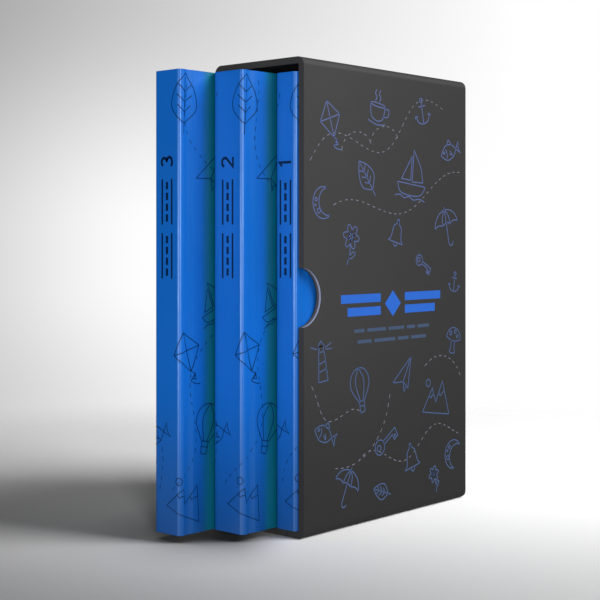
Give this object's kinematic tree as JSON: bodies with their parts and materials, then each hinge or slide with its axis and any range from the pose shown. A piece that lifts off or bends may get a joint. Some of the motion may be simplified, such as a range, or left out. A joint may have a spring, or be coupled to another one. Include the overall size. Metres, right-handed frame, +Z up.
{
  "type": "book box",
  "caption": "Rigid upright slipcase, open at one narrow side with half-round thumb notches, holding case-bound books side by side that slide out spine first.",
  "frame": {"origin": "middle of the slipcase's base, on the surface that it stands on", "axes": "+X across the books, out of the side panel with the main print; -Y out of the mouth, along which the books slide; +Z up"},
  "size_m": [0.0582, 0.1766, 0.225],
  "materials": {
    "case_paper": "matte charcoal printed paper with thin lavender line drawings",
    "lining_paper": "plain near-black lining paper",
    "greyboard": "raw grey bookbinding board",
    "cover_print": "satin laminated blue print, shading to dark teal away from the spine",
    "endpaper": "uncoated dark blue endpaper",
    "pages": "cream page edges",
    "spine_gauze": "brown kraft spine lining",
    "band_cloth": "woven head and tail band"
  },
  "bodies": {
    "slipcase": {"tube_board": "greyboard", "case_back_board": "greyboard", "outer_wrap": "case_paper", "base_sheet": "case_paper", "back_sheet": "case_paper", "tube_lining": "lining_paper", "back_lining": "lining_paper"},
    "book_1": {"book_1_cover_wrap": "cover_print", "book_1_front_board": "greyboard", "book_1_rear_board": "greyboard", "book_1_spine_card": "greyboard", "book_1_front_endpaper": "endpaper", "book_1_rear_endpaper": "endpaper", "book_1_pages": "pages", "book_1_spine_lining": "spine_gauze", "book_1_head_band": "band_cloth", "book_1_tail_band": "band_cloth"},
    "book_2": {"book_2_cover_wrap": "cover_print", "book_2_front_board": "greyboard", "book_2_rear_board": "greyboard", "book_2_spine_card": "greyboard", "book_2_front_endpaper": "endpaper", "book_2_rear_endpaper": "endpaper", "book_2_pages": "pages", "book_2_spine_lining": "spine_gauze", "book_2_head_band": "band_cloth", "book_2_tail_band": "band_cloth"},
    "book_3": {"book_3_cover_wrap": "cover_print", "book_3_front_board": "greyboard", "book_3_rear_board": "greyboard", "book_3_spine_card": "greyboard", "book_3_front_endpaper": "endpaper", "book_3_rear_endpaper": "endpaper", "book_3_pages": "pages", "book_3_spine_lining": "spine_gauze", "book_3_head_band": "band_cloth", "book_3_tail_band": "band_cloth"}
  },
  "joints": [
    {"name": "book_1_slide", "type": "slide", "parent": "slipcase", "child": "book_1", "axis": [0, -1, 0], "range_m": [0, 0.119]},
    {"name": "book_2_slide", "type": "slide", "parent": "slipcase", "child": "book_2", "axis": [0, -1, 0], "range_m": [-0.0215, 0.0975]},
    {"name": "book_3_slide", "type": "slide", "parent": "slipcase", "child": "book_3", "axis": [0, -1, 0], "range_m": [-0.0423, 0.0767]}
  ]
}
